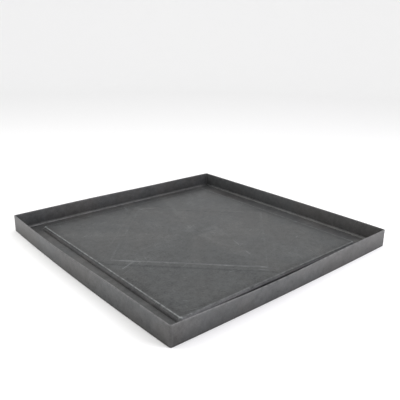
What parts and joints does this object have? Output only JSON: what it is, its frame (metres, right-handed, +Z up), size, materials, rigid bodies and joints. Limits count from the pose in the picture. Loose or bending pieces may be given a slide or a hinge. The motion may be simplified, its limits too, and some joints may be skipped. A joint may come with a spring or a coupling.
{
  "type": "spill containment pallet",
  "caption": "Low square spill containment pallet: an open plastic sump tray with upright walls and a gutter around a raised load deck that lifts out.",
  "frame": {"origin": "centre of the underside, on the ground", "axes": "+Z up; front is -Y and right is +X, along the tray's sides"},
  "size_m": [1.372, 1.372, 0.089],
  "materials": {
    "wall_sheet": "satin black polyethylene sheet, lightly scuffed",
    "floor_sheet": "satin black polyethylene sheet with dulled sump marks",
    "deck_sheet": "semi-gloss charcoal polyethylene sheet, fine scratches",
    "skirt_sheet": "satin black polyethylene sheet",
    "weld_bead": "extruded polyethylene weld, rippled",
    "support_bar": "sawn black polyethylene bar"
  },
  "bodies": {
    "tray": {"sump_floor": "floor_sheet", "wall_right": "wall_sheet", "wall_back": "wall_sheet", "wall_left": "wall_sheet", "wall_front": "wall_sheet", "corner_weld_back_right": "wall_sheet", "corner_weld_back_left": "wall_sheet", "corner_weld_front_left": "wall_sheet", "corner_weld_front_right": "wall_sheet", "floor_weld_right": "weld_bead", "floor_weld_back": "weld_bead", "floor_weld_left": "weld_bead", "floor_weld_front": "weld_bead", "deck_stop_back_right": "support_bar", "deck_stop_back_left": "support_bar", "deck_stop_front_left": "support_bar", "deck_stop_front_right": "support_bar"},
    "deck": {"deck_plate": "deck_sheet", "deck_skirt_right": "skirt_sheet", "deck_skirt_back": "skirt_sheet", "deck_skirt_left": "skirt_sheet", "deck_skirt_front": "skirt_sheet", "deck_corner_weld_back_right": "skirt_sheet", "deck_corner_weld_back_left": "skirt_sheet", "deck_corner_weld_front_left": "skirt_sheet", "deck_corner_weld_front_right": "skirt_sheet", "deck_bearer_1": "support_bar", "deck_bearer_2": "support_bar", "deck_bearer_3": "support_bar", "deck_bearer_4": "support_bar", "deck_bearer_5": "support_bar", "deck_bearer_6": "support_bar", "deck_rib_1_1": "support_bar", "deck_rib_1_2": "support_bar", "deck_rib_1_3": "support_bar", "deck_rib_2_1": "support_bar", "deck_rib_2_2": "support_bar", "deck_rib_2_3": "support_bar", "deck_rib_3_1": "support_bar", "deck_rib_3_2": "support_bar", "deck_rib_3_3": "support_bar", "deck_rib_4_1": "support_bar", "deck_rib_4_2": "support_bar", "deck_rib_4_3": "support_bar", "deck_rib_5_1": "support_bar", "deck_rib_5_2": "support_bar", "deck_rib_5_3": "support_bar"}
  },
  "joints": [
    {"name": "deck_lift", "type": "slide", "parent": "tray", "child": "deck", "axis": [0, 0, 1], "range_m": [0, 0.1]}
  ]
}
